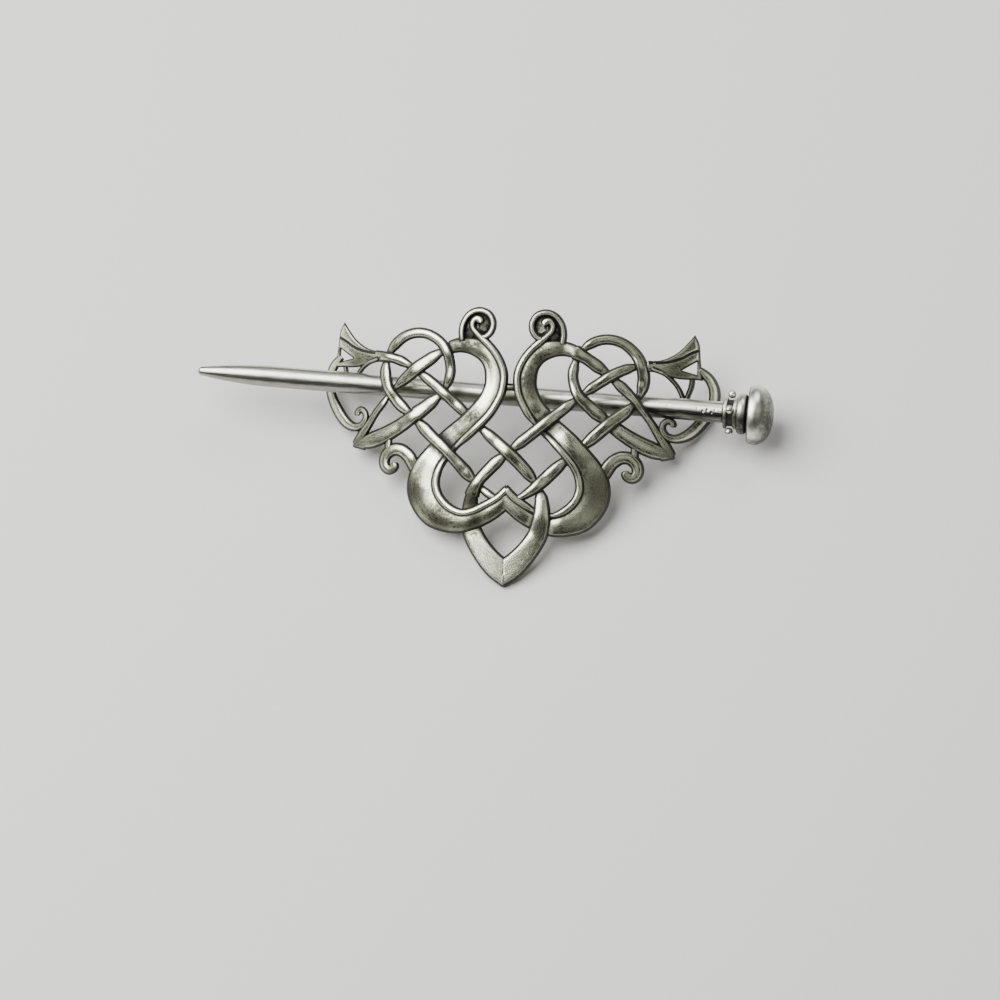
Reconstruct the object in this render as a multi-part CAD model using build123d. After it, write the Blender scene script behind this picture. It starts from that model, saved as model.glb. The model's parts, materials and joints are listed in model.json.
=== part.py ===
from build123d import *
import math
import os

# Stick barrette: an arched, pierced knotwork plate cast in one piece, and a tapered stick
# that slides under the plate's two rings and over its wings. Millimetres.
# The plate is drawn face on: X along its length, Y up the knot, Z out of its front, with the
# top of the arch at Z = 0. At the end both pieces are turned together, so that the plate
# rests on its two wings and the tip of its drop on Z = 0.

# Plate
plate_length = 87.8        # over the two outer scrolls, measured straight
plate_height = 59.5        # top scroll to drop tip
arch_radius = 57.0         # front face of the plate
plate_thickness = 1.6      # base of every strand
band_width = 2.15          # an average strand, on its crest
wall_flare = 0.18          # a strand's foot is this much wider than its crest, each way
crossing_rise = 0.75       # a strand that passes over stands this far above the base
crossing_reach = 3.0       # length over which it comes down again, each way
over_inset = 0.3           # the raised strand stands this far inside its base
rim_rise = 0.4             # wire rims and scrolls above the base
rim_inset = 0.3            # the raised wire stands this far inside its base
floor_drop = 0.5           # sunk floor inside the top scrolls
scroll_floor_radius = 3.3  # disc under each top scroll
groove_depth = 0.45        # of the line cut into the fishtails
strut_dip = 32.0           # degrees by which the wing struts bend down behind the stick
strut_drop = 0.6           # their faces below the fishtail's

# Stick
stick_length = 125.5       # tip to the crown of the head
shaft_diameter = 4.6
tip_diameter = 2.0         # of the rounded end
taper_length = 17.0
stick_angle = 2.4          # degrees, head end lower on the face of the plate
stick_height = 7.5         # where its axis crosses the middle of the plate, up the face
stick_tip_overhang = 69.4  # tip of the stick from the middle of the plate
stick_clearance = 0.2      # between the shaft and the strands that hold it down
collar_length = 2.9
collar_diameter = 7.0
collar_waist = 5.8         # diameter between its two flanges
flange_length = 0.7
bead_diameter = 1.8
bead_count = 4
disc_length = 2.2
disc_diameter = 9.0
neck_length = 0.3
head_length = 5.4
head_diameter = 13.1
head_shoulder = 1.5        # from the head's back to its widest ring
seat_gap = 0.05            # between the pieces threaded on the shaft
spigot_diameter = 3.0      # the shaft's spigot that carries collar, disc and head
spigot_depth = 2.4         # how far it reaches into the head

# The knot is charted on a grid of this many squares, from the middle to the outermost edge
# and from the top of the scrolls to the tip of the drop.
chart_half_length = 202.0
chart_height = 277.0
square_x = plate_length / 2 / chart_half_length
square_y = plate_height / chart_height

# Columns of the strand tables: squares to the right of the middle, squares up from the
# origin, and the width there as a share of band_width. Each table is the right half's; the
# left half is its mirror image.
DIAGONAL = [
    (140, 70.0, 0.85), (123, 68.5, 0.75), (110, 64.5, 0.80), (98, 58.0, 0.85),
    (88, 51.0, 0.80), (77, 43.0, 0.80), (66, 34.0, 0.80), (52, 22.0, 0.85),
    (37, 9.0, 0.90), (23, -3.0, 0.90), (8, -15.5, 0.95), (-7, -28.5, 1.00),
    (-20, -42.0, 0.95), (-29, -53.5, 0.90), (-34, -65.0, 1.15), (-36, -80.0, 1.50),
    (-35, -94.0, 1.80), (-31, -107.0, 1.95), (-22, -121.5, 2.10), (-9, -136.0, 2.35),
    (6, -146.0, 2.50),
]
RING = [
    (8, -70.0, 0.50), (16, -66.0, 0.60), (27, -58.0, 0.85), (36, -49.5, 1.00),
    (45, -40.0, 1.00), (55, -30.0, 0.90), (66, -19.0, 0.90), (78, -9.0, 0.95),
    (88, 0.5, 1.00), (101, 12.5, 1.00), (112, 21.5, 0.95), (120, 30.5, 0.85),
    (125, 38.0, 0.85), (128, 47.0, 0.90), (129, 58.0, 0.92), (127, 69.0, 0.88),
    (121, 80.0, 0.85), (110, 90.0, 0.80), (97, 94.3, 0.78), (84, 92.7, 0.77),
    (72, 85.5, 0.78), (65, 76.0, 0.78), (62, 66.0, 0.78), (61, 56.0, 0.78),
    (63, 46.5, 0.80), (67, 37.5, 0.85), (75, 29.0, 0.95), (86, 19.5, 1.10),
    (98, 10.0, 1.25), (110, 1.0, 1.35), (125, -8.0, 1.50), (139, -14.5, 1.55),
    (150, -18.0, 1.20), (161, -22.0, 0.25),
]
BAND = [
    (158, -19.0, 0.50), (151, -10.0, 0.90), (145, -1.0, 0.88), (137, 12.0, 0.78),
    (130, 22.5, 0.70), (123, 33.0, 0.68), (113, 43.0, 0.80), (104, 51.0, 0.95),
    (95, 59.0, 1.05), (85, 66.5, 1.00), (75, 73.5, 0.95), (67, 78.0, 1.05),
    (60, 81.5, 1.25), (50, 83.5, 1.42), (38, 82.5, 1.70), (26, 77.0, 1.95),
    (18, 67.0, 2.05), (15, 54.0, 2.10), (16, 41.0, 2.05), (22, 27.0, 2.05),
    (31, 14.5, 2.15), (41, 3.5, 2.20), (49, -3.5, 2.25), (59, -12.5, 2.30),
    (72, -27.5, 2.50), (82, -43.5, 2.92), (85, -57.0, 3.20), (83, -70.0, 3.20),
    (73, -84.0, 3.05), (59, -91.0, 2.65), (45, -93.0, 2.25), (30, -89.0, 2.05),
    (17, -82.5, 1.90), (6, -73.5, 1.90), (-6, -62.5, 1.90),
]
RIM = [
    (33, 108.5, 0.36), (38, 106.0, 0.38), (38.5, 100.0, 0.40), (34, 94.5, 0.44),
    (28, 89.0, 0.54), (22, 83.5, 0.54), (15, 75.0, 0.54), (10, 66.0, 0.54),
    (7, 56.5, 0.54), (7, 46.0, 0.54), (10, 33.0, 0.54), (20, 15.0, 0.55),
    (34, -0.5, 0.55), (51, -17.0, 0.52), (64, -32.0, 0.55), (70, -44.0, 0.55),
    (72, -56.0, 0.58), (69, -67.0, 0.58), (62, -76.0, 0.58), (53, -82.0, 0.55),
    (43, -84.5, 0.52), (32, -82.0, 0.55), (20, -75.5, 0.54), (11, -70.0, 0.54),
    (5, -65.0, 0.54), (0, -59.5, 0.54),
]
TOP_SCROLL = [
    (51, 88.0, 0.54), (52, 98.0, 0.54), (50, 108.0, 0.54), (43, 116.0, 0.54),
    (33, 119.0, 0.54), (23, 116.0, 0.54), (18, 108.0, 0.54), (19, 99.0, 0.54),
    (24, 93.0, 0.54), (30, 91.5, 0.40),
]
WING_SCROLL = [
    (182.0, 68.0, 0.50), (187, 63.5, 0.72), (193, 57.0, 0.80), (196.5, 47.5, 0.85),
    (196.5, 37.0, 0.85), (193, 26.5, 0.88), (187, 16.5, 1.00), (179.5, 6.5, 1.10),
    (172, -1.0, 1.00), (163, -4.5, 0.75), (155, -2.0, 0.62), (150, 4.0, 0.56),
    (150, 10.5, 0.54), (154, 14.5, 0.50), (158, 11.5, 0.46),
]
LOWER_SCROLL = [
    (86, -42.0, 0.75), (93, -35.0, 0.70), (99, -29.0, 0.70), (107, -23.5, 0.65),
    (116, -21.5, 0.65), (124, -25.5, 0.65), (128, -33.0, 0.60), (126, -40.5, 0.60),
    (120, -43.5, 0.60), (116, -38.5, 0.58),
]
INNER_STRUT = [
    (137, 67.0, 0.55), (149, 62.0, 0.50), (158, 53.0, 0.50), (163, 44.0, 0.50),
    (166, 33.0, 0.50),
]
OUTER_STRUT = [(174, 63.0, 0.50), (173, 52.0, 0.50), (170, 43.0, 0.50), (166, 33.0, 0.50)]

# Rows and places in those tables, the places in squares.
spline_rows = 4            # rows that one spline of a strand's edge spans
ring_top = 18              # the ring strand is halved there, because it crosses itself
rim_on_band = 6            # from there on the rim lies on the band
strut_root = 62.0          # up the chart, where the struts leave the fishtail
holding_edge = 133.5       # out to the outer edge of the strands over the stick
SCROLL_CENTRE = (34.8, 104.2)

# Short bridges left by the casting, in squares: x and y of one end, then of the other.
BRIDGES = [(-9, 43, 9, 43), (123, -10, 123, -26), (152, 4, 143, 1)]
bridge_width = 1.3         # millimetres

# Outline of a fishtail, in squares: its upper edge, its lower edge, and its hole.
FISHTAIL_TOP = [(134, 74.8), (146, 76.0), (156, 80.5), (166, 90.0), (176, 104.0)]
FISHTAIL_SIDE = [(181, 91.0), (180.5, 78.0), (184.5, 66.0), (184.5, 57.5)]
FISHTAIL_BOTTOM = [(184.5, 57.5), (170, 59.5), (156, 62.0), (145, 64.5), (134, 65.0)]
FISHTAIL_HOLE = [(179.5, 77.0), (180, 63.5), (166, 67.5)]
FISHTAIL_GROOVE = [(177, 86.0, 0.14), (167, 79.0, 0.14), (156, 74.0, 0.14), (138, 72.0, 0.14)]

# Where one strand passes over another: the strand's table, its first and last row there,
# and the crossing in squares. The weave alternates, so the two halves differ.
RIGHT_CROSSINGS = [
    (RING, 13, 17, 127, 69), (DIAGONAL, 1, 5, 98, 58), (RING, 23, 27, 68, 36),
    (DIAGONAL, 6, 10, 34, 6), (DIAGONAL, 11, 15, -29, -54), (BAND, 9, 14, 66, 78),
    (BAND, 3, 7, 124, 33), (RING, 7, 11, 98, 10), (BAND, 21, 25, 64, -18),
    (RING, 1, 4, 29, -56),
]
LEFT_CROSSINGS = [
    (DIAGONAL, 0, 3, 126, 69), (BAND, 6, 11, 98, 58), (DIAGONAL, 4, 8, 67, 35),
    (BAND, 19, 23, 34, 8), (DIAGONAL, 8, 12, 0, -22), (RING, 19, 23, 65, 77),
    (RING, 11, 15, 125, 37), (RING, 26, 30, 98, 10), (RING, 5, 8, 65, -19),
    (BAND, 29, 33, 36, -88), (DIAGONAL, 13, 17, -36, -85),
]


def spot(x, y, side=1):
    """Charted squares to millimetres; side -1 is the left half."""
    return Vector(side * x * square_x, y * square_y)


def strand_edge(points, directions):
    """Smooth edge through the points, as short splines that share their tangents."""
    edges = []
    for start in range(0, len(points) - 1, spline_rows):
        end = min(start + spline_rows, len(points) - 1)
        edges.append(Spline(*points[start:end + 1], tangents=[directions[start], directions[end]]))
    return edges


def strand_sides(rows, side=1, inset=0.0):
    """Points along a strand's two edges, and the strand's direction at each row."""
    middles = [spot(x, y, side) for x, y, share in rows]
    left_points = []
    right_points = []
    directions = []
    for i, middle in enumerate(middles):
        along = (middles[min(i + 1, len(rows) - 1)] - middles[max(i - 1, 0)]).normalized()
        across = Vector(-along.Y, along.X) * (rows[i][2] * band_width / 2 + wall_flare - inset)
        left_points.append(middle + across)
        right_points.append(middle - across)
        directions.append(along)
    return left_points, right_points, directions


def ribbon(rows, side=1, inset=0.0, first=0, last=None):
    """Flat face of a strand, or of its rows from first to last: splines either side of its line."""
    end = len(rows) if last is None else last + 1
    left, right, directions = [points[first:end] for points in strand_sides(rows, side, inset)]
    caps = [Line(left[0], right[0]), Line(left[-1], right[-1])]
    return face_up(make_face(strand_edge(left, directions) + strand_edge(right, directions) + caps))


def face_up(face):
    flat = face.faces()[0]
    return flat if flat.normal_at().Z > 0 else -flat


def bridge(x0, y0, x1, y1, side):
    start = spot(x0, y0, side)
    end = spot(x1, y1, side)
    along = (end - start).normalized()
    across = Vector(-along.Y, along.X) * bridge_width / 2
    corners = [start + across, end + across, end - across, start - across]
    return face_up(make_face(Polyline(*corners, close=True)))


def fishtail(side):
    top = [spot(x, y, side) for x, y in FISHTAIL_TOP]
    outer = [spot(x, y, side) for x, y in FISHTAIL_SIDE]
    bottom = [spot(x, y, side) for x, y in FISHTAIL_BOTTOM]
    hole = [spot(x, y, side) for x, y in FISHTAIL_HOLE]
    outline = make_face([
        Spline(*top),
        Polyline(top[-1], *outer),
        Spline(*bottom),
        Line(bottom[-1], top[0]),
    ])
    return face_up(outline - make_face(Polyline(*hole, close=True)))


def sag(x, below=0.0):
    """Depth at x of the surface that lies this far below the front face of the base."""
    return arch_radius - math.sqrt((arch_radius - below) ** 2 - x ** 2)


def shell(front, back):
    """Arched sheet between two distances from the front face of the base."""
    reach = 3 * plate_height
    outer = Cylinder(arch_radius + front, reach, rotation=(90, 0, 0))
    inner = Cylinder(arch_radius + back, reach, rotation=(90, 0, 0))
    return Pos(0, 0, -arch_radius) * (outer - inner)


def upright(face):
    """Prism through the whole depth of the arch, in the draw direction of the mould."""
    return extrude(Pos(0, 0, -arch_radius) * face, amount=arch_radius + plate_thickness * 3)


def base_plate():
    """Every strand at its full width, cut from one arched sheet."""
    faces = []
    for side in (1, -1):
        for rows in (DIAGONAL, BAND, TOP_SCROLL, WING_SCROLL, LOWER_SCROLL):
            faces.append(ribbon(rows, side))
        faces.append(ribbon(RING, side, last=ring_top))
        faces.append(ribbon(RING, side, first=ring_top))
        faces.append(ribbon(RIM, side, last=rim_on_band))
        faces.append(fishtail(side))
        faces += [bridge(*row, side) for row in BRIDGES]
    drawing = faces[0].fuse(*faces[1:])
    return upright(drawing) & shell(0, -plate_thickness)


def scroll_floors():
    """Sunk discs that close the top scrolls."""
    solids = []
    for side in (1, -1):
        disc = Pos(*spot(*SCROLL_CENTRE, side)) * Circle(scroll_floor_radius)
        solids.append(upright(disc) & shell(-floor_drop, -plate_thickness))
    return solids


def rims():
    """Wire rims of the wide bands, and the scrolls that they end in."""
    solids = []
    for side in (1, -1):
        for rows in (RIM, TOP_SCROLL):
            wire = upright(ribbon(rows, side, inset=rim_inset))
            solids.append(wire & shell(rim_rise, -plate_thickness / 2))
    return solids


def over(rows, first, last, x, y, side):
    """The raised stretch of a strand where it passes over another."""
    prism = upright(ribbon(rows, side, over_inset, first, last))
    place = spot(x, y, side)
    ball_radius = crossing_reach ** 2 / (2 * crossing_rise)
    lean = math.asin(place.X / arch_radius)
    out = arch_radius + crossing_rise - ball_radius
    centre = Vector(out * math.sin(lean), place.Y, out * math.cos(lean) - arch_radius)
    dome = Pos(*centre) * Sphere(ball_radius)
    return (prism & dome) & shell(2 * crossing_rise, -plate_thickness / 2)


def crossings():
    solids = []
    for table, side in ((RIGHT_CROSSINGS, 1), (LEFT_CROSSINGS, -1)):
        solids += [over(*row, side) for row in table]
    return solids


def struts():
    """Thin arms that bend down from each fishtail and meet behind the stick."""
    hinge = Pos(0, strut_root * square_y, -sag(spot(*OUTER_STRUT[0][:2]).X))
    sheet = shell(-strut_drop, -strut_drop - plate_thickness)
    bent = hinge * Rot(X=strut_dip) * hinge.inverse() * sheet
    bore_radius = shaft_diameter / 2 + stick_clearance
    channel = in_plate(Cylinder(bore_radius, 2 * stick_length, rotation=(0, 90, 0)))
    solids = []
    for side in (1, -1):
        for rows in (INNER_STRUT, OUTER_STRUT):
            solids.append((upright(ribbon(rows, side)) & bent) - channel)
    return solids


def in_plate(piece):
    """Lays a piece of the stick under the rings of the plate, head to the right."""
    held_under = sag(spot(holding_edge, 0).X, below=plate_thickness)
    depth = held_under + stick_clearance + shaft_diameter / 2
    return Pos(0, stick_height, -depth) * Rot(Z=-stick_angle) * Pos(-stick_tip_overhang, 0, 0) * piece


def knot_plate():
    plate = base_plate().fuse(*scroll_floors(), *rims(), *crossings(), *struts())
    for side in (1, -1):
        groove = upright(ribbon(FISHTAIL_GROOVE, side)) & shell(plate_thickness, -groove_depth)
        plate = plate - groove
    return plate


# The stick is made along X, with its tip at X = 0.
shaft_length = stick_length - head_length - neck_length - disc_length - collar_length
collar_start = shaft_length + seat_gap
disc_start = shaft_length + collar_length + seat_gap
neck_start = shaft_length + collar_length + disc_length
head_start = neck_start + neck_length
bore = spigot_diameter + 2 * seat_gap


def turned(outline):
    """A solid of revolution about the stick's axis."""
    return revolve(make_face(outline), Axis.X)


def shaft():
    tip = tip_diameter / 2
    full = shaft_diameter / 2
    pin = spigot_diameter / 2
    pin_end = head_start + spigot_depth - seat_gap
    return turned([
        ThreePointArc((0, 0), (tip * 0.29, tip * 0.71), (tip, tip)),
        Spline((tip, tip), (taper_length / 2, full * 0.84), (taper_length, full),
               tangents=[(1, 0.35), (1, 0)]),
        Polyline((taper_length, full), (shaft_length, full), (shaft_length, pin),
                 (pin_end, pin), (pin_end, 0), (0, 0)),
    ])


def beaded_collar():
    flange = collar_diameter / 2
    waist = collar_waist / 2
    end = disc_start - seat_gap
    ring = turned(Polyline(
        (collar_start, bore / 2), (collar_start, flange), (collar_start + flange_length, flange),
        (collar_start + flange_length, waist), (end - flange_length, waist),
        (end - flange_length, flange), (end, flange), (end, bore / 2), close=True))
    middle = (collar_start + end) / 2
    bead = Pos(middle, 0, flange + bead_diameter / 4) * Sphere(bead_diameter / 2)
    beads = [Rot(X=360 * i / bead_count) * bead for i in range(bead_count)]
    return ring.fuse(*beads)


def end_disc():
    half = disc_diameter / 2
    end = neck_start - seat_gap
    middle = (disc_start + end) / 2
    shoulder = half - disc_length / 3
    return turned([
        Polyline((disc_start, shoulder), (disc_start, bore / 2), (end, bore / 2), (end, shoulder)),
        ThreePointArc((end, shoulder), (middle, half), (disc_start, shoulder)),
    ])


def domed_head():
    """Mushroom head with its neck, bored for the spigot."""
    half = head_diameter / 2
    neck = collar_diameter / 2
    hollow = head_start + spigot_depth
    widest = head_start + head_shoulder
    crown = head_start + head_length
    back = half * 0.88
    return turned([
        Polyline((crown, 0), (hollow, 0), (hollow, bore / 2), (neck_start, bore / 2),
                 (neck_start, neck), (head_start, neck), (head_start, back)),
        Spline((head_start, back), (widest, half), tangents=[(0, 1), (1, 0)]),
        Spline((widest, half), (crown, 0), tangents=[(1, 0), (0, -1)]),
    ])


def resting_tilt(plate):
    """Degrees by which the plate leans, from the tip of its drop to its lowest wing points."""
    tip = min(plate.vertices(), key=lambda corner: (round(corner.Y, 3), corner.Z))
    angles = []
    for rows in (RING, WING_SCROLL):
        left, right, directions = strand_sides(rows)
        for point in left + right:
            drop = sag(point.X, below=plate_thickness) - plate_thickness
            angles.append(math.degrees(math.atan2(drop, point.Y - tip.Y)))
    return max(angles)


plate = knot_plate()
pieces = {
    "knot_plate": plate,
    "stick_shaft": in_plate(shaft()),
    "beaded_collar": in_plate(beaded_collar()),
    "end_disc": in_plate(end_disc()),
    "domed_head": in_plate(domed_head()),
}
tilt = resting_tilt(plate)
leaned = {name: Rot(X=tilt) * piece for name, piece in pieces.items()}
boxes = [piece.bounding_box() for piece in leaned.values()]
middle_x = (min(box.min.X for box in boxes) + max(box.max.X for box in boxes)) / 2
middle_y = (min(box.min.Y for box in boxes) + max(box.max.Y for box in boxes)) / 2
floor_z = min(corner.Z for corner in leaned["knot_plate"].vertices())

os.makedirs("parts", exist_ok=True)
for name, piece in leaned.items():
    export_step(Pos(-middle_x, -middle_y, -floor_z) * piece, f"parts/{name}.step")
print("tilt", round(tilt, 2), "shift", round(-middle_x, 3), round(-middle_y, 3), round(-floor_z, 3))
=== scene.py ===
import json
import math

import bmesh
import bpy
import numpy as np
from mathutils import Matrix, Vector, noise
from mathutils.bvhtree import BVHTree
from mathutils.geometry import delaunay_2d_cdt

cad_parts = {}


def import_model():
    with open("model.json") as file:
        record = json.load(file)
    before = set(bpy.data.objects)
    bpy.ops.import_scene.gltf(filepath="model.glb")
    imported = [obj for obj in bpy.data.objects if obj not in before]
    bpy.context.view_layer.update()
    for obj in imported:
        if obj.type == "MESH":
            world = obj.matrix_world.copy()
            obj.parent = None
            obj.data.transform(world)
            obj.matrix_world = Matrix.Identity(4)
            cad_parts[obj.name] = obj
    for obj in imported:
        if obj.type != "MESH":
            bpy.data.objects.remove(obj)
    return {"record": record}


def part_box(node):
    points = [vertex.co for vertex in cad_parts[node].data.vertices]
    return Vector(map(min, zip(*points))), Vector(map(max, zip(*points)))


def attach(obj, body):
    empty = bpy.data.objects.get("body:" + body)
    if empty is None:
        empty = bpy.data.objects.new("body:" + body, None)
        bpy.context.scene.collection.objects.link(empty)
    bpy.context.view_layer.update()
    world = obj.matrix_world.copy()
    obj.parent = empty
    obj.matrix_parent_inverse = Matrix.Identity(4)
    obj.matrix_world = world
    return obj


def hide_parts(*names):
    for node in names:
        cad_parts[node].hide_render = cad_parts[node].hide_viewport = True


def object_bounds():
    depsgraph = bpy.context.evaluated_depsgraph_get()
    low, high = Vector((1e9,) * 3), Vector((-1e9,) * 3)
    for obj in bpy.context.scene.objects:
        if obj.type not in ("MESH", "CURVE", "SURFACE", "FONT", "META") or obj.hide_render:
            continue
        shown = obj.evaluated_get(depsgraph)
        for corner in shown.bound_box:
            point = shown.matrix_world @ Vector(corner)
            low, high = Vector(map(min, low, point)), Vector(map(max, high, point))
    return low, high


# A stick barrette: an arched, pierced knotwork casting and the tapered stick that holds it.
# Lengths are in millimetres until a mesh is made; METRE turns them into the frame's metres.
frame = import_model()
cad_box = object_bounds()
METRE = 0.001

# Plate
plate_length = 87.8
plate_height = 59.5
arch_radius = 57.0
plate_thickness = 1.6
band_width = 2.15  # the chart gives each strand's width as a share of this
wall_flare = 0.18  # a strand's foot is this much wider than its crest, each way
crossing_rise = 0.72  # a strand that passes over, above the face of the base
crossing_dip = 0.55  # a strand that passes under, below it
crossing_reach = 2.7  # half a crossing's length, beside the widest strand's half width
crossing_near = 1.3  # a strand this close to a crossing takes part in it
rim_near = 3.4  # the same for a rim, which runs beside its band
rim_rise = 0.38  # wire rims and top scrolls, above the base
rim_width = 1.15  # times the width that the chart gives for a rim
floor_drop = 0.5  # the floors of the top scrolls, below the base's face
lower_scroll_drop = 0.15  # the lower scrolls, below the base's face
root_dip = 0.55  # how much deeper the root of a lower scroll lies
root_dip_ends = (0.5, 3.5)  # millimetres along it over which that dip ends
bridge_drop = 0.45  # the bridges, below the base's face
strut_dip = 32.0  # degrees by which the struts bend down behind the stick
strut_drop = 0.6  # and how far they lie below the base's face
left_wing_bend = 0.88  # the left wing's scroll is bent in to this share of its reach
wing_bend_from = 150  # squares out where that bend begins

# A strand's cross-section
crest_points = 13  # points over the crest
edge_drop = 0.75  # how far the crest stands above the shoulders, at most
thin_edge_drop = 0.78  # the same on a thin strand, as a share of its half width
side_height = 0.2  # upright part of the side, under the shoulder
back_round = 0.25  # rounding of the back edges
back_top = -plate_thickness + back_round * 1.01  # points above this height belong to the front
back_follows = 0.4  # share of a strand's rise that its back follows
blunt_end = 0.002  # keeps a rounded end from closing to a point
row_step = 0.3  # between two rows of a strand's mesh
narrow = 1.3  # half width below which a strand swells and is pinched
swell = 0.20  # share by which a narrow strand is fuller than its chart
pinch = 0.54  # and the share that it loses where it dives
strand_squareness = {"diagonal": 2.2, "ring": 2.1, "band": 2.4, "rim": 1.9}  # 2 is a round crest
tip_squareness = 4.8  # added to the diagonal's near the tip of the drop
tip_flat_rows = (16.8, 19.0)  # rows of DIAGONAL over which that is added
mitre_row = 15.5  # row past which the diagonal is cut off at the plate's middle line
dish_depth = 0.32  # hollow in a lobe, beside its rim
dish_place = 0.62  # middle of the hollow, as a share of the half width
dish_spread = 0.3  # its spread, as the same share
dish_rows = (12.0, 15.5)  # rows of BAND over which its rim comes to its edge
dish_widths = (1.2, 2.4)  # half widths over which the hollow grows
grain_shift = 7.3  # sets each strand's grain apart from the next one's
first_loose_number = 20  # strands outside the weave count from here
far_from_groove = 9.0  # a distance at which no groove shows

# Fishtails
fishtail_step = 0.2  # between two points of the mesh
fishtail_drop = 0.6  # how far the face falls off at the outline
fishtail_shoulder = 0.9  # width of that fall
groove_depth = 0.42
groove_width = 0.26

# Stick
stick_length = 125.5
shaft_diameter = 4.6
tip_diameter = 2.0
taper_length = 17.0
taper_curve = 2.05  # how evenly the taper closes: 1 is a straight cone
stick_angle = 2.4  # degrees, its head end down
stick_height = 7.5  # above the chart's origin, at the plate's middle
stick_tip_overhang = 69.4  # from the tip to the plate's middle
stick_clearance = 0.2  # between the stick and the strands that hold it
pitted_length = 14  # pitted stretch before the collar, with finer rows
pitted_step = 0.14
bore_depth = 0.4  # how far the rings reach into the shaft, out of sight
collar_length = 2.9
collar_diameter = 7.0
collar_waist = 5.8
flange_length = 0.7
flange_round = 0.22
bead_diameter = 1.8
bead_count = 4
bead_turn = 10  # degrees
bead_stand = 0.36  # a bead's middle outside the flanges, as a share of its diameter
disc_length = 2.2
disc_diameter = 9.0
neck_length = 0.3
head_length = 5.4
head_diameter = 13.1
head_shoulder = 1.5
head_back = 0.88  # flat back of the head, as a share of its radius
dome_fullness = 0.92  # 1 is an ellipse, less is fuller
seat_gap = 0.05
lathe_turns = 96  # points round a turned piece

# Wear, patina and painted shade. A point's line value is its distance from an edge in millimetres,
# and a low one is black: patina on the walls, with painted shade. Tarnish runs from 0 to 1 and also
# holds painted shade, and wear is taken off it.
rim_wear = 0.6
top_scroll_wear = 0.4
floor_line = 0.35
flange_line = 0.56
bead_line = 1.0
disc_line = 0.7
head_line = 1.3  # gained per millimetre from its back
spot_edge = (0.1, 1.1)  # shares of a spot's radius between which it fades; the spots hold tarnish and painted shade
shade_side_span = 0.30  # how softly the painted shade on a turned piece's low side begins
shaft_shade = 0.62  # painted shade on the low side of the shaft
shaft_shade_more = 0.36  # added to it towards the head, where the shaft is tarnished too
shaft_shade_from = (70, 108)  # millimetres from the tip over which that is added
# Painted shade on the low sides of the collar, disc and head, and on the head's lower edge and crown, up
# to a limit; the value after these is painted light on the head's upper side.
collar_shade = 0.7
disc_shade = 0.85
head_edge_shade = 0.8
head_crown_shade = 1.1
head_shade_limit = 0.95
head_painted_light = 0.3
cavity_rays = 20
cavity_reach = 2.6  # millimetres within which another surface darkens a point
cavity_spread = 0.96  # how far down from the normal the rays go: 1 is to the horizon
cavity_fade = 0.7  # how much less a hit counts at that reach's end
ray_offset = 0.00006  # metres above the surface where the rays start

# The knot's chart: squares from the middle to the outermost edge, and from the top of the
# scrolls to the tip of the drop.
chart_half_length = 202.0
chart_height = 277.0
square_x = plate_length / 2 / chart_half_length
square_y = plate_height / chart_height
holding_edge = 133.5  # squares out to the outer edge of the strands over the stick

# Columns: squares to the right of the middle, squares up from the origin, and share of
# band_width. The left half is the mirror image.
DIAGONAL = [
    (140, 70.0, 0.85), (123, 68.5, 0.75), (110, 64.5, 0.80), (98, 58.0, 0.85),
    (88, 51.0, 0.80), (77, 43.0, 0.80), (66, 34.0, 0.80), (52, 22.0, 0.85),
    (37, 9.0, 0.90), (23, -3.0, 0.90), (8, -15.5, 0.95), (-7, -28.5, 1.00),
    (-20, -42.0, 0.95), (-29, -53.5, 0.90), (-34, -65.0, 1.15), (-36, -80.0, 1.50),
    (-35, -94.0, 1.80), (-31, -107.0, 1.95), (-22, -121.5, 2.10), (-9, -136.0, 2.35),
    (6, -146.0, 2.50),
]
RING = [
    (8, -70.0, 0.50), (16, -66.0, 0.60), (27, -58.0, 0.85), (36, -49.5, 1.00),
    (45, -40.0, 1.00), (55, -30.0, 0.90), (66, -19.0, 0.90), (78, -9.0, 0.95),
    (88, 0.5, 1.00), (101, 12.5, 1.00), (112, 21.5, 0.95), (120, 30.5, 0.85),
    (125, 38.0, 0.85), (128, 47.0, 0.90), (129, 58.0, 0.92), (127, 69.0, 0.88),
    (121, 80.0, 0.85), (110, 90.0, 0.80), (97, 94.3, 0.78), (84, 92.7, 0.77),
    (72, 85.5, 0.78), (65, 76.0, 0.78), (62, 66.0, 0.78), (61, 56.0, 0.78),
    (63, 46.5, 0.80), (67, 37.5, 0.85), (75, 29.0, 0.95), (86, 19.5, 1.10),
    (98, 10.0, 1.25), (110, 1.0, 1.35), (125, -8.0, 1.50), (139, -14.5, 1.55),
    (150, -18.0, 1.20), (161, -22.0, 0.25),
]
BAND = [
    (160, -20.5, 0.50), (152, -10.0, 0.72), (145.5, -0.5, 0.64), (137.5, 12.5, 0.56),
    (130, 22.5, 0.56), (123, 33.0, 0.62), (113, 43.0, 0.78), (104, 51.0, 0.95),
    (95, 59.0, 1.05), (85, 66.5, 1.00), (75, 73.5, 0.95), (67, 78.0, 1.05),
    (60, 81.5, 1.25), (50, 83.5, 1.42), (38, 82.5, 1.70), (26, 77.0, 1.95),
    (18, 67.0, 2.05), (15, 54.0, 2.10), (16, 41.0, 2.05), (22, 27.0, 2.05),
    (31, 14.5, 2.15), (41, 3.5, 2.20), (49, -3.5, 2.25), (59, -12.5, 2.30),
    (72, -27.5, 2.50), (82, -43.5, 2.92), (85, -57.0, 3.20), (83, -70.0, 3.20),
    (73, -84.0, 3.05), (59, -91.0, 2.65), (45, -93.0, 2.25), (30, -89.0, 2.05),
    (17, -82.5, 1.90), (6, -73.5, 1.90), (-6, -62.5, 1.90),
]
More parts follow.
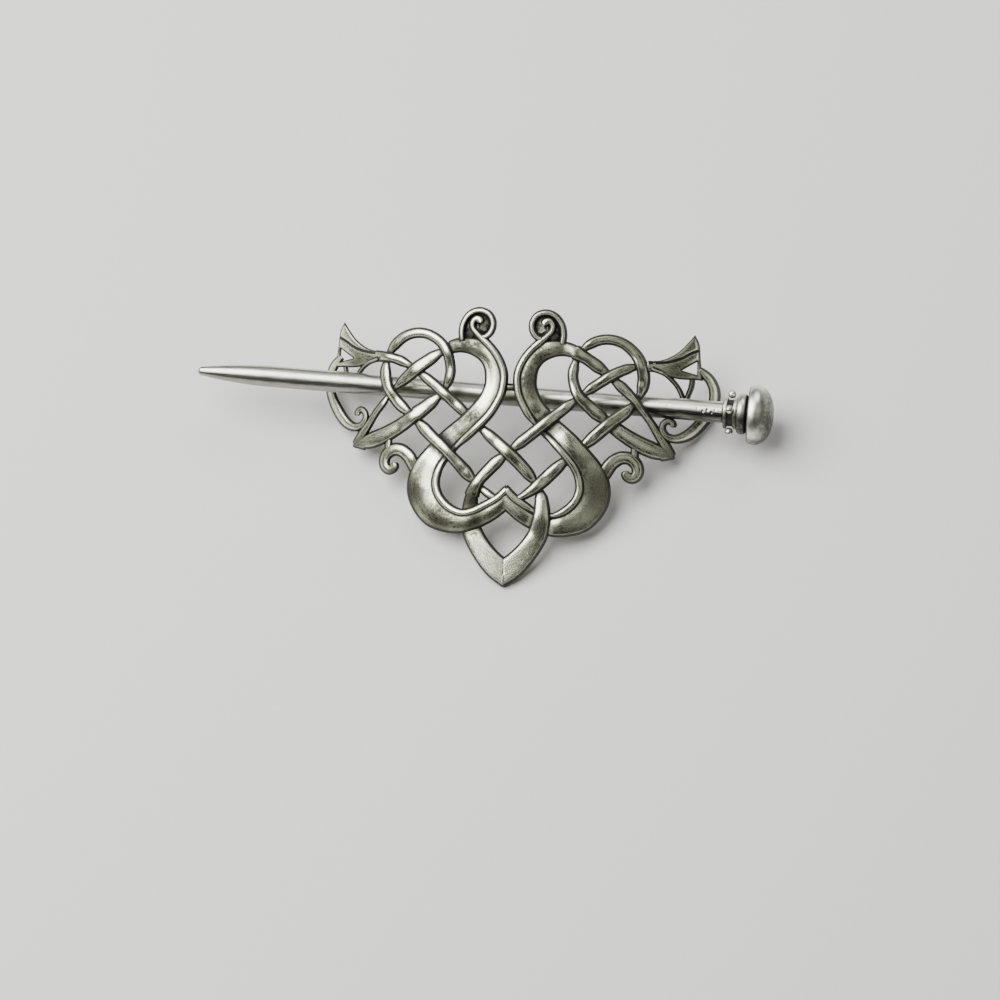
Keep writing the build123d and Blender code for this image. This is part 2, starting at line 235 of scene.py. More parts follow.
RIM = [
    (31.6, 105.8, 0.74), (32.4, 108.6, 0.66), (36.2, 110.6, 0.50), (39.8, 107.0, 0.44),
    (39.5, 101.0, 0.42), (34, 94.5, 0.44),
    (28, 89.0, 0.54), (22, 83.5, 0.54), (15, 75.0, 0.54), (10, 66.0, 0.54),
    (7, 56.5, 0.54), (7, 46.0, 0.54), (10, 33.0, 0.54), (20, 15.0, 0.55),
    (34, -0.5, 0.55), (51, -17.0, 0.52), (64, -32.0, 0.55), (70, -44.0, 0.55),
    (72, -56.0, 0.58), (69, -67.0, 0.58), (62, -76.0, 0.58), (53, -82.0, 0.55),
    (43, -84.5, 0.52), (32, -82.0, 0.55), (20, -75.5, 0.54), (11, -70.0, 0.54),
    (5, -65.0, 0.54), (0, -59.5, 0.54),
]
TOP_SCROLL = [
    (50, 88.0, 0.48), (50.8, 98.0, 0.48), (48.6, 107.5, 0.48), (42.5, 115.5, 0.48),
    (33.5, 118.8, 0.50), (24.2, 115.8, 0.50), (19.6, 108.0, 0.50), (20.4, 99.5, 0.50),
    (25, 93.5, 0.48), (30.5, 92.0, 0.40),
]
WING_SCROLL = [
    (181.0, 68.0, 0.50), (186, 63.5, 0.66), (191.5, 57.0, 0.72), (195, 47.5, 0.76),
    (195, 37.0, 0.76), (191.5, 26.5, 0.80), (185.5, 16.5, 0.88), (178, 7.0, 0.90),
    (170, 0.5, 0.80), (161, -2.5, 0.66), (153, -0.5, 0.58), (148.5, 5.5, 0.52),
    (149, 12.0, 0.50), (154, 15.5, 0.50), (158, 12.5, 0.54), (157, 9.0, 0.62),
]
LOWER_SCROLL = [
    (91.5, -45.0, 1.08), (96.0, -37.8, 1.08), (101.5, -29.5, 1.06), (109.5, -24.0, 1.02),
    (118, -24.0, 0.98), (125, -30.0, 0.92), (126.5, -38.5, 0.86), (122, -43.8, 0.82),
    (116.3, -41.2, 0.80), (116.8, -36.3, 0.86),
]
INNER_STRUT = [
    (137, 67.0, 0.40), (149, 62.0, 0.36), (158, 53.0, 0.34), (163, 44.0, 0.34),
    (166, 33.0, 0.34),
]
OUTER_STRUT = [(174, 63.0, 0.40), (173, 52.0, 0.38), (170, 43.0, 0.36), (166, 33.0, 0.36)]
FISHTAIL_TOP = [
    (132.5, 75.2), (139, 75.0), (147, 76.8), (155, 80.8), (163, 87.2), (169.5, 95.0), (175.5, 103.0),
]
FISHTAIL_SIDE = [
    (175.5, 103.0), (179.4, 95.0), (180.8, 87.0), (181.6, 77.0), (183.0, 67.0), (184.2, 57.0),
]
FISHTAIL_BOTTOM = [
    (184.2, 57.0), (175, 57.6), (166, 57.4), (158, 58.2), (151, 60.6), (144, 62.8), (137, 63.6),
    (132.5, 63.6),
]
FISHTAIL_HOLE = [(178.3, 76.0), (164.5, 66.8), (178.6, 63.0)]
FISHTAIL_GROOVE = [(178.6, 86.8), (172, 83.4), (165, 78.8), (156, 75.2), (146, 73.2), (135, 72.6)]
SCROLL_FLOORS = [(34.8, 105.5, 3.3), (36.5, 94.5, 2.6)]  # the last column is a radius in mm
BRIDGES = [
    [(-9, 43, 0.55), (9, 43, 0.55)],
    [(123, -10, 0.6), (123, -26, 0.6)],
    [(152, 4, 0.6), (143, 1, 0.6)],
]
strut_root = 62.0  # squares up, where the struts begin to bend

# Where one strand passes over another: its table, its first and last row there, and the
# crossing in squares. The weave alternates, so the two halves differ.
RIGHT_CROSSINGS = [
    ("ring", 13, 17, 127, 69), ("diagonal", 1, 5, 98, 58), ("ring", 23, 27, 68, 36),
    ("diagonal", 6, 10, 34, 6), ("diagonal", 11, 15, -29, -54), ("band", 9, 14, 66, 78),
    ("band", 3, 7, 124, 33), ("ring", 7, 11, 98, 10), ("band", 21, 25, 64, -18),
    ("ring", 1, 4, 29, -56),
]
LEFT_CROSSINGS = [
    ("diagonal", 0, 3, 126, 69), ("band", 6, 11, 98, 58), ("diagonal", 4, 8, 67, 35),
    ("band", 19, 23, 34, 8), ("diagonal", 8, 12, 0, -22), ("ring", 19, 23, 65, 77),
    ("ring", 11, 15, 125, 37), ("ring", 26, 30, 98, 10), ("ring", 5, 8, 65, -19),
    ("band", 29, 33, 36, -88), ("diagonal", 13, 17, -36, -85),
]


def smoothstep(low, high, value):
    t = np.clip((value - low) / (high - low), 0.0, 1.0)
    return t * t * (3 - 2 * t)


def sag(x, below=0.0):
    """Depth at x of the surface that lies this far below the plate's front."""
    return arch_radius - np.sqrt((arch_radius - below) ** 2 - x ** 2)


# The frame: the plate's tilt is read from the mount's axis, and its place from the disc.
seat_axis = frame["record"]["mounts"][0]["axis"]
tilt = math.atan2(seat_axis[1], -seat_axis[2])
held_under = float(sag(holding_edge * square_x, below=plate_thickness))
stick_depth = held_under + stick_clearance + shaft_diameter / 2
stick_in_plate = (
    Matrix.Translation((0, stick_height, -stick_depth))
    @ Matrix.Rotation(math.radians(-stick_angle), 4, "Z")
    @ Matrix.Translation((-stick_tip_overhang, 0, 0))
)
bore = shaft_diameter / 2 - bore_depth
shaft_length = stick_length - head_length - neck_length - disc_length - collar_length
collar_start = shaft_length + seat_gap
disc_start = shaft_length + collar_length + seat_gap
neck_start = shaft_length + collar_length + disc_length
head_start = neck_start + neck_length
disc_middle = (disc_start + neck_start - seat_gap) / 2

lean = Matrix.Rotation(tilt, 4, "X")
disc_low, disc_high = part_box("end_disc")
disc_place = (Vector(disc_low) + Vector(disc_high)) / 2 / METRE
shift = disc_place - lean @ stick_in_plate @ Vector((disc_middle, 0, 0))
plate_place = Matrix.Translation(shift) @ lean
stick_place = plate_place @ stick_in_plate


# Strands: each is swept along its table's line, as rows of one closed cross-section.
def line_of(rows, side):
    """Evenly spaced places along a table's smooth line: x, y, half width and row number."""
    table = np.array(rows, float)
    knots = table * (side * square_x, square_y, band_width / 2)
    ends = np.vstack([2 * knots[0] - knots[1], knots, 2 * knots[-1] - knots[-2]])
    ends[0, 2] = knots[0, 2]
    ends[-1, 2] = knots[-1, 2]
    fine = 24  # places between two knots
    places = []
    numbers = []
    for i in range(len(knots) - 1):
        p0, p1, p2, p3 = ends[i:i + 4]
        for t in np.arange(fine) / fine:
            places.append(0.5 * (2 * p1 + (p2 - p0) * t + (2 * p0 - 5 * p1 + 4 * p2 - p3) * t ** 2
                                 + (3 * p1 - p0 - 3 * p2 + p3) * t ** 3))
            numbers.append(i + t)
    places.append(knots[-1])
    numbers.append(len(knots) - 1)
    places = np.array(places)
    length = np.concatenate([[0], np.cumsum(np.hypot(*np.diff(places[:, :2], axis=0).T))])
    count = max(int(length[-1] / row_step), 6)
    even = np.linspace(0, length[-1], count + 1)
    columns = [np.interp(even, length, column) for column in (*places.T, numbers)]
    return np.array(columns).T, even


STRANDS = {"diagonal": DIAGONAL, "ring": RING, "band": BAND, "rim": RIM}
LINES = {(name, side): line_of(rows, side) for name, rows in STRANDS.items() for side in (1, -1)}


def passings():
    """For each woven strand: where along it, whether it is above, and how far it bends."""
    found = {key: [] for key in LINES}
    for side, crossings in ((1, RIGHT_CROSSINGS), (-1, LEFT_CROSSINGS)):
        for name, first, last, x, y in crossings:
            place = np.array([side * x * square_x, y * square_y])
            hits = []
            for key, (rows, even) in LINES.items():
                near = rim_near if key[0] == "rim" else crossing_near
                away = np.hypot(*(rows[:, :2] - place).T)
                for i in range(1, len(away) - 1):
                    if away[i] <= away[i - 1] and away[i] < away[i + 1] and away[i] < near:
                        here = key == (name, side) and first - 1 <= rows[i, 3] <= last + 1
                        rides = key == ("rim", side) and name == "band"
                        hits.append((key, even[i], rows[i, 2], here or rides))
            widest = max([hit[2] for hit in hits if hit[0][0] != "rim"], default=1.0)
            for key, where, _, above in hits:
                found[key].append((where, above, crossing_reach + widest))
    return found


PASSINGS = passings()


def weave(key, even):
    """Height of a strand above the plate's face along its line, and how deep it is under."""
    height = np.zeros_like(even)
    under = np.zeros_like(even)
    for where, above, reach in PASSINGS[key]:
        bump = np.clip(1 - ((even - where) / reach) ** 2, 0, None) ** 2
        height += bump * (crossing_rise if above else -crossing_dip)
        if not above:
            under = np.maximum(under, bump)
    return np.clip(height, -crossing_dip, crossing_rise), under


crest_across = -np.cos(np.linspace(0, math.pi, crest_points))


def section(half, squareness, drop, dish):
    """One closed cross-section: places across it, heights, and line values."""
    crest = -drop * (1 - (1 - np.abs(crest_across) ** squareness) ** (1 / squareness))
    crest = crest - dish * np.exp(-((crest_across - dish_place) / dish_spread) ** 2)
    foot = half + wall_flare * min(half, 1.0)
    soft = min(back_round, half * 0.5)
    right = [
        (foot, -drop - side_height, 0),
        (foot, -plate_thickness + soft, 0),
        (foot - soft * 0.4, -plate_thickness + soft * 0.3, 0.15),
        (foot - soft, -plate_thickness, 0.3),
    ]
    left = [(-across, height, line) for across, height, line in right[::-1]]
    top = [(u * half, height, half * (1 - abs(u))) for u, height in zip(crest_across, crest)]
    return top + right + [(0, -plate_thickness, 1.0)] + left


class Casting:
    """Points, faces and values per point of the plate's mesh."""

    def __init__(self):
        self.points = []
        self.faces = []
        self.grain = []
        self.line = []
        self.under = []
        self.groove = []
        self.worn = []

    def add(self, points, faces, grain, line, under=None, groove=None, worn=0.0):
        base = len(self.points)
        self.points += points
        self.faces += [[base + i for i in face] for face in faces]
        self.grain += grain
        self.line += line
        self.under += [0.0] * len(points) if under is None else list(under)
        self.groove += [1.0] * len(points) if groove is None else list(groove)
        self.worn += [worn] * len(points)


casting = Casting()


def on_arch(x, y, height):
    """A charted place at a height above the arched face."""
    return x, y, math.sqrt((arch_radius + height) ** 2 - x ** 2) - arch_radius


def strut_point(x, y, height):
    """The same on a sheet that bends down behind the stick, kept clear of it."""
    turn = math.radians(strut_dip)
    hinge_y = strut_root * square_y
    hinge_z = -float(sag(OUTER_STRUT[0][0] * square_x))
    sheet = math.sqrt((arch_radius + height - strut_drop) ** 2 - x ** 2) - arch_radius
    rise = sheet - hinge_z
    along = (y - hinge_y + rise * math.sin(turn)) / math.cos(turn)
    z = hinge_z + along * math.sin(turn) + rise * math.cos(turn)
    local = stick_in_plate.inverted() @ Vector((x, y, z))
    clear = shaft_diameter / 2 + stick_clearance
    away = math.hypot(local.y, local.z)
    if away < clear:
        local.y *= clear / away
        local.z *= clear / away
        return tuple(stick_in_plate @ local)
    return x, y, z


def sweep(rows, even, heights, number, squareness=2.0, dish=None, under=None, rim=None,
          to_space=on_arch, round_start=False, round_end=False, lift=0.0, worn=0.0, mitre=0):
    """Adds one strand: a closed cross-section at every row, and its two ends.

    A rim is the strand beside which this one is grooved. A mitre of 1 keeps the strand's tip
    left of the plate's middle line, and -1 right of it.
    """
    count = len(rows)
    points = []
    grain = []
    line = []
    flat = []
    under = np.zeros(count) if under is None else under
    dish = np.zeros(count) if dish is None else dish
    squareness = np.broadcast_to(squareness, count)
    directions = np.gradient(rows[:, :2], axis=0)
    directions /= np.linalg.norm(directions, axis=1)[:, None]
    normals = np.stack([directions[:, 1], -directions[:, 0]], axis=1)
    shrink = np.ones(count)
    lengths = even - even[0]
    for i in range(count):
        half = rows[i, 2]
        if half < narrow:
            half *= 1 + swell - pinch * under[i]
        if round_start and lengths[i] < half:
            shrink[i] = math.sqrt(max(1 - ((half - lengths[i]) / half) ** 2, blunt_end))
        if round_end and lengths[-1] - lengths[i] < half:
            shrink[i] = math.sqrt(max(1 - ((half - lengths[-1] + lengths[i]) / half) ** 2, blunt_end))
        drop = min(half * thin_edge_drop, edge_drop)
        ring = section(half * shrink[i], squareness[i], drop * shrink[i], dish[i])
        for across, height, edge in ring:
            x = rows[i, 0] + normals[i, 0] * across
            y = rows[i, 1] + normals[i, 1] * across
            if mitre and rows[i, 3] > mitre_row:
                x = mitre * min(mitre * x, 0.0)
            moved = heights[i] + lift if height > back_top else max(heights[i], 0) * back_follows
            points.append(to_space(x, y, height + moved))
            grain.append((even[i], across + number * grain_shift))
            line.append(edge)
            flat.append((x, y))
    sides = len(ring)
    groove = None if rim is None else gap_to(rim, np.array(flat))
    casting.add(points, tube(count, sides), grain, line, np.repeat(under, sides), groove, worn)


def tube(count, sides):
    """Faces of a closed tube: rings of points in order, and a cap at each end."""
    faces = []
    for i in range(count - 1):
        for k in range(sides):
            j = (k + 1) % sides
            faces.append((i * sides + k, i * sides + j, (i + 1) * sides + j, (i + 1) * sides + k))
    faces.append(tuple(range(sides))[::-1])
    faces.append(tuple((count - 1) * sides + k for k in range(sides)))
    return faces


def gap_to(rows, places):
    """Distance of each place from the edge of a strand."""
    near = np.full(len(places), far_from_groove)
    for x, y, half in rows[:, :3]:
        near = np.minimum(near, np.hypot(places[:, 0] - x, places[:, 1] - y) - half)
    return near


def woven_strands():
    """The diagonals, rings, bands and rims, over and under each other."""
    for number, ((name, side), (rows, even)) in enumerate(LINES.items(), 1):
        heights, under = weave((name, side), even)
        squareness = strand_squareness[name]
        if name == "rim":
            rows = rows * (1, 1, rim_width, 1)
            options = dict(round_start=True, lift=rim_rise, worn=rim_wear)
        elif name == "band":
            dish = dish_depth * smoothstep(*dish_rows, rows[:, 3])
            dish = dish * smoothstep(*dish_widths, rows[:, 2])
            options = dict(dish=dish, rim=LINES[("rim", side)][0], round_start=True)
        elif name == "diagonal":
            squareness = squareness + tip_squareness * smoothstep(*tip_flat_rows, rows[:, 3])
            options = dict(mitre=side)
        else:
            options = dict(round_end=True)
        sweep(rows, even, heights, number, squareness, under=under, **options)


def loose_strands():
    """The scrolls, the struts and the bridges."""
    number = first_loose_number
    for side in (1, -1):
        bend = left_wing_bend if side < 0 else 1.0
        wing_scroll = [(wing_bend_from + (x - wing_bend_from) * bend, y, w) for x, y, w in WING_SCROLL]
        loose = [
            (TOP_SCROLL, 0.0, dict(lift=rim_rise, worn=top_scroll_wear)),
            (wing_scroll, 0.0, dict(round_end=True)),
            (LOWER_SCROLL, root_dip, dict(lift=-lower_scroll_drop, round_end=True)),
            (INNER_STRUT, 0.0, dict(to_space=strut_point, round_end=True)),
            (OUTER_STRUT, 0.0, dict(to_space=strut_point, round_end=True)),
        ]
        loose += [(bridge, 0.0, dict(lift=-bridge_drop)) for bridge in BRIDGES]
        for table, dip, options in loose:
            number += 1
            rows, even = line_of(table, side)
            sweep(rows, even, -dip * (1 - smoothstep(*root_dip_ends, even)), number, **options)


def scroll_floors():
    """Sunk discs that close the top scrolls."""
    corners = 40
    for side in (1, -1):
        for column, row, radius in SCROLL_FLOORS:
            x = side * column * square_x
            y = row * square_y
            points = []
            for height in (-floor_drop, -plate_thickness):
                points.append(on_arch(x, y, height))
                for k in range(corners):
                    angle = 2 * math.pi * k / corners
                    across = radius * math.cos(angle)
                    points.append(on_arch(x + across, y + radius * math.sin(angle), height))
            faces = []
            low = corners + 1
            for k in range(corners):
                j = (k + 1) % corners
                faces.append((0, 1 + k, 1 + j))
                faces.append((low, low + 1 + j, low + 1 + k))
                faces.append((1 + k, low + 1 + k, low + 1 + j, 1 + j))
            grain = [point[:2] for point in points]
            casting.add(points, faces, grain, [floor_line] * len(points))


def inside(polygon, x, y):
    """Whether each place lies inside a closed polygon."""
    found = np.zeros(np.shape(x), bool)
    for (x1, y1), (x2, y2) in zip(polygon, np.roll(polygon, -1, axis=0)):
        spans = (y1 > y) != (y2 > y)
        at = x1 + (y - y1) * (x2 - x1) / (y2 - y1 if y2 != y1 else 1e-9)
        found ^= spans & (x < at)
    return found


def gap(line, places):
    """Distance of each place from a line of close points."""
    return np.min(np.hypot(places[:, 0:1] - line[:, 0], places[:, 1:2] - line[:, 1]), axis=1)


def between_loops(outer, inner, places):
    """Whether each place lies inside one closed polygon and outside another."""
    return inside(outer, *places.T) & ~inside(inner, *places.T)


def loop(start, count):
    """Edges of a closed loop of points, numbered from a start."""
    return [(start + k, start + (k + 1) % count) for k in range(count)]


def fishtails():
    """The wings' flared plates, each with a three-cornered hole and a groove."""
    for side in (1, -1):
        top, outer, bottom, groove = [
            line_of([(x, y, 1) for x, y in table], side)[0][:, :2]
            for table in (FISHTAIL_TOP, FISHTAIL_SIDE, FISHTAIL_BOTTOM, FISHTAIL_GROOVE)]
        outline = np.concatenate([top, outer[1:], bottom[1:]])
        corners = np.array(FISHTAIL_HOLE) * (side * square_x, square_y)
        sides = zip(corners, np.roll(corners, -1, axis=0))
        hole = np.concatenate([np.linspace(a, b, 12)[:-1] for a, b in sides])
        edges = np.concatenate([outline, hole])
        low = outline.min(axis=0)
        high = outline.max(axis=0)
        grid = np.meshgrid(*(np.arange(low[k], high[k], fishtail_step) for k in (0, 1)))
        grid = np.stack([axis.ravel() for axis in grid], axis=1)
        grid = grid[between_loops(outline, hole, grid) & (gap(edges, grid) > 0.6 * fishtail_step)]
        loops = loop(0, len(outline)) + loop(len(outline), len(hole))
        starts = [Vector(place) for place in np.concatenate([edges, grid])]
        made = delaunay_2d_cdt(starts, loops, [], 0, 1e-5)
        places = np.array([tuple(place) for place in made[0]])
        middles = np.array([np.mean([places[i] for i in face], axis=0) for face in made[2]])
        wanted = between_loops(outline, hole, middles)
        front = [list(face) for face, use in zip(made[2], wanted) if use]
        away = gap(edges, places)
        carved = gap(groove, places)
        fall = 1 - np.minimum(away / fishtail_shoulder, 1)
        height = fishtail_drop * (np.sqrt(1 - fall ** 2) - 1)
        height -= groove_depth * np.exp(-(carved / groove_width) ** 2)
        count = len(places)
        points = [on_arch(x, y, h) for (x, y), h in zip(places, height)]
        points += [on_arch(x, y, -plate_thickness) for x, y in places]
        faces = front + [[count + i for i in face[::-1]] for face in front]
        used = dict.fromkeys(pair for face in front for pair in zip(face, face[1:] + face[:1]))
        faces += [[b, a, count + a, count + b] for a, b in used if (b, a) not in used]
        casting.add(points, faces, list(places) * 2, list(away) + [1.0] * count,
                    groove=list(carved) + [1.0] * count)


def outward(mesh):
    """Turns every face of a closed mesh outward."""
    work = bmesh.new()
    work.from_mesh(mesh)
    bmesh.ops.recalc_face_normals(work, faces=work.faces)
    work.to_mesh(mesh)
    work.free()


def mesh_object(name, points, faces, place):
    mesh = bpy.data.meshes.new(name)
    mesh.from_pydata([tuple(place @ Vector(p) * METRE) for p in points], [], faces)
    outward(mesh)
    mesh.polygons.foreach_set("use_smooth", [True] * len(mesh.polygons))
    piece = bpy.data.objects.new(name, mesh)
    bpy.context.scene.collection.objects.link(piece)
    return piece


def float_attribute(mesh, name, values):
    layer = mesh.attributes.new(name, "FLOAT", "POINT")
    layer.data.foreach_set("value", np.asarray(values, dtype=np.float32))


def grain_map(mesh, values):
    """A UV map that runs along the strands, in millimetres."""
    layer = mesh.uv_layers.new(name="grain")
    loops = np.empty(len(mesh.loops), dtype=np.int32)
    mesh.loops.foreach_get("vertex_index", loops)
    layer.data.foreach_set("uv", np.asarray(values, dtype=np.float32)[loops].ravel())


def cavities(meshes):
    """Share of the sky that nearby metal hides from each point of the first mesh."""
    points = []
    faces = []
    for mesh in meshes:
        base = len(points)
        points += [v.co.copy() for v in mesh.vertices]
        faces += [[base + i for i in face.vertices] for face in mesh.polygons]
    tree = BVHTree.FromPolygons(points, faces)
    golden = math.pi * (3 - math.sqrt(5))
    reach = cavity_reach * METRE
    rays = []
    for i in range(cavity_rays):
        up = math.sqrt(1 - (i + 0.5) / cavity_rays * cavity_spread)
        out = math.sqrt(1 - up * up)
        rays.append((math.cos(golden * i) * out, math.sin(golden * i) * out, up))
    shares = []
    for vertex in meshes[0].vertices:
        normal = vertex.normal
        side = normal.orthogonal().normalized()
        other = normal.cross(side)
        start = vertex.co + normal * ray_offset
        hidden = 0.0
        for a, b, c in rays:
            hit = tree.ray_cast(start, side * a + other * b + normal * c, reach)
            if hit[3] is not None:
                hidden += 1 - cavity_fade * hit[3] / reach
        shares.append(hidden / cavity_rays)
    return shares


# Materials. Colours are linear, and the noises' scales are per metre, but per millimetre
# where they lie on the grain map.
# Black patina in hollows, also laid as painted shade along edges, under crossings and in shade spots.
PATINA_AND_SHADE = (0.010, 0.009, 0.006, 1)
# Tarnish, also laid as painted shade in spots and on the low sides of turned pieces.
TARNISHED_AND_SHADED = (0.070, 0.066, 0.044, 1)
CAST_DARK = (0.42, 0.43, 0.30, 1)
CAST_BRIGHT = (0.88, 0.90, 0.68, 1)
DULL_CAST_DARK = (0.50, 0.505, 0.42, 1)
DULL_CAST_BRIGHT = (0.84, 0.85, 0.73, 1)
SATIN_DARK = (0.56, 0.565, 0.49, 1)
SATIN_BRIGHT = (0.80, 0.805, 0.71, 1)
# Darkened satin: painted shade on the shaft's low side, with tarnish towards the collar.
SATIN_SHADED_AND_TARNISHED = (0.045, 0.043, 0.032, 1)
SATIN_PATINA = (0.03, 0.028, 0.022, 1)


class Nodes:
    """A short way to write a material's nodes."""

    def __init__(self, name):
        self.material = bpy.data.materials.new(name)
        self.material.use_nodes = True
        self.tree = self.material.node_tree
        self.shader = next(n for n in self.tree.nodes if n.type == "BSDF_PRINCIPLED")

    def add(self, kind, settings=None, **inputs):
        made = self.tree.nodes.new(kind)
        for key, value in (settings or {}).items():
            setattr(made, key, value)
        for key, value in inputs.items():
            self.feed(made.inputs[key], value)
        return made

    def feed(self, socket, value):
        if isinstance(value, bpy.types.NodeSocket):
            self.tree.links.new(value, socket)
        else:
            socket.default_value = value

    def maths(self, operation, *values):
        made = self.add("ShaderNodeMath", {"operation": operation})
        for socket, value in zip(made.inputs, values):
            self.feed(socket, value)
        return made.outputs[0]

    def between(self, value, low, high):
        """0 to 1 as the value goes from low to high, smoothly."""
        made = self.add("ShaderNodeMapRange", {"interpolation_type": "SMOOTHSTEP"})
        for socket, number in zip(made.inputs, (value, low, high, 0.0, 1.0)):
            self.feed(socket, number)
        return made.outputs[0]

    def mix(self, kind, share, first, second):
        made = self.add("ShaderNodeMix", {"data_type": kind})
        slots = {"FLOAT": (0, 2, 3), "RGBA": (0, 6, 7)}[kind]
        out = {"FLOAT": 0, "RGBA": 2}[kind]
        for index, value in zip(slots, (share, first, second)):
            self.feed(made.inputs[index], value)
        return made.outputs[out]

    def noise(self, vector, scale, detail=3.0, rough=0.55):
        made = self.add("ShaderNodeTexNoise", Vector=vector, Scale=scale, Detail=detail, Roughness=rough)
        return made.outputs["Fac"]

    def stretched(self, vector, scale):
        made = self.add("ShaderNodeMapping", Vector=vector, Scale=scale)
        return made.outputs["Vector"]

    def attribute(self, name):
        return self.add("ShaderNodeAttribute", {"attribute_name": name}).outputs["Fac"]


def antique_silver(name, dark, bright, smoothest, roughest):
    """Cast metal with black patina where it lies deep and worn metal where it stands high, and painted
    shade along the edges, under crossings and in spots.
    """
    n = Nodes(name)
    place = n.add("ShaderNodeTexCoord").outputs["Object"]
    along = n.add("ShaderNodeUVMap", {"uv_map": "grain"}).outputs["UV"]
    cloud = n.noise(place, 200.0, 3.0)
    mottle = n.noise(place, 1500.0, 5.0, 0.65)
    fine = n.noise(place, 7000.0, 3.0, 0.6)
    brushed = n.noise(n.stretched(along, (0.7, 8.0, 1.0)), 1.0, 4.0, 0.6)

    uneven = n.maths("SUBTRACT", n.maths("MULTIPLY_ADD", brushed, 0.5, mottle), 0.75)
    # Black along the edges: patina on the walls, and painted shade.
    edge = n.between(n.maths("MULTIPLY_ADD", uneven, -0.35, n.attribute("line")), 0.60, 0.20)
    groove = n.between(n.maths("MULTIPLY_ADD", uneven, -0.30, n.attribute("groove")), 0.52, 0.26)
    crevice = n.between(n.maths("MULTIPLY_ADD", uneven, 0.45, n.attribute("cavity")), 0.34, 0.66)
    # Painted shade where a strand passes under another.
    dive_shade = n.between(n.maths("MULTIPLY_ADD", uneven, 0.50, n.attribute("under")), 0.42, 0.86)
    # Tarnish and painted shade, from the spots and from the turned pieces' low sides.
    tarnish = n.attribute("tarnish")
    shade_and_tarnish_spots = n.maths("MULTIPLY", tarnish, n.between(mottle, 0.60, 0.42))
    lines = n.maths("MAXIMUM", edge, groove)
    black = n.maths("MAXIMUM", n.maths("MAXIMUM", lines, crevice), n.maths("MAXIMUM", dive_shade, shade_and_tarnish_spots))
    light = n.maths("MULTIPLY_ADD", mottle, 0.25, n.maths("MULTIPLY", cloud, 0.30))
    light = n.maths("MULTIPLY_ADD", brushed, 0.45, light)
    light = n.between(n.maths("MULTIPLY_ADD", tarnish, -0.16, light), 0.36, 0.60)
    metal = n.mix("RGBA", tarnish, n.mix("RGBA", light, dark, bright), TARNISHED_AND_SHADED)
    n.feed(n.shader.inputs["Base Color"], n.mix("RGBA", black, metal, PATINA_AND_SHADE))
    n.feed(n.shader.inputs["Metallic"], n.mix("FLOAT", black, 1.0, 0.1))
    shine = n.mix("FLOAT", n.between(brushed, 0.3, 0.7), smoothest, roughest)
    n.feed(n.shader.inputs["Roughness"], n.mix("FLOAT", black, shine, 0.55))

    relief = n.maths("MULTIPLY_ADD", brushed, 0.40, n.maths("MULTIPLY", mottle, 0.12))
    relief = n.maths("MULTIPLY_ADD", fine, 0.08, relief)
    bump = n.add("ShaderNodeBump", Height=relief, Strength=0.50, Distance=0.0001)
    n.feed(n.shader.inputs["Normal"], bump.outputs["Normal"])
    return n.material


def satin_silver():
    """The shaft's metal, with fine marks along it and small pits."""
    n = Nodes("satin_silver")
    place = n.add("ShaderNodeTexCoord").outputs["Object"]
    along = n.add("ShaderNodeUVMap", {"uv_map": "grain"}).outputs["UV"]
    cavity = n.attribute("cavity")
    marks = n.noise(n.stretched(along, (0.25, 7.0, 1.0)), 1.0, 5.0, 0.6)
    cloud = n.noise(place, 320.0, 4.0)
    pits = n.noise(place, 2600.0, 2.0, 0.5)
    light = n.between(n.maths("ADD", marks, n.maths("MULTIPLY", cloud, 0.6)), 0.5, 1.1)
    # Painted shade on the shaft's low side, with tarnish towards the collar.
    painted_shade = n.maths("MULTIPLY", n.attribute("tarnish"), n.between(marks, 0.9, 0.45))
    grey = n.mix("RGBA", painted_shade, n.mix("RGBA", light, SATIN_DARK, SATIN_BRIGHT), SATIN_SHADED_AND_TARNISHED)
    black = n.between(cavity, 0.22, 0.60)
    n.feed(n.shader.inputs["Base Color"], n.mix("RGBA", black, grey, SATIN_PATINA))
    n.shader.inputs["Metallic"].default_value = 1.0
    n.feed(n.shader.inputs["Roughness"], n.mix("FLOAT", n.between(marks, 0.3, 0.7), 0.28, 0.38))
    relief = n.maths("MULTIPLY_ADD", n.between(pits, 0.24, 0.30), 0.6, n.maths("MULTIPLY", marks, 0.20))
    bump = n.add("ShaderNodeBump", Height=relief, Strength=0.35, Distance=0.0001)
    n.feed(n.shader.inputs["Normal"], bump.outputs["Normal"])
    return n.material


# Tarnish and painted shade on the plate, in squares: x, y, radius and strength. Some spots are
# tarnish and many are painted shade, such as the strand in shadow at -45, -39. x is signed, and a
# strength below zero is a spot that wear has polished.
TARNISH_AND_SHADE = [
    (-106, -66, 34, 0.98), (-84, -50, 16, -0.9), (-66, -90, 24, 0.80), (88, -56, 38, 0.66),
    (-30, -92, 14, 0.9), (36, -88, 16, -0.5), (-48, 86, 18, 0.90), (-34, 86, 12, 0.7),
    (-36, 12, 14, 0.9), (90, -80, 18, 0.35), (-33, -98, 16, 0.8), (-34, -72, 13, 0.9),
    (17, 50, 30, 0.78), (26, 76, 22, 0.75), (44, 84, 18, 0.45), (-158, -20, 16, 0.5),
    (160, -22, 18, 0.4), (100, 14, 12, 0.3), (-160, 64, 12, 0.5), (165, 64, 20, 0.4),
    (-45, -39, 9, 0.9), (8, -132, 34, -0.9), (-20, 40, 24, -0.8), (-70, -34, 16, -0.8),
    (-110, 4, 22, -0.7), (-172, 88, 14, -0.7), (-95, 90, 26, -0.6), (30, -100, 16, -0.6),
]


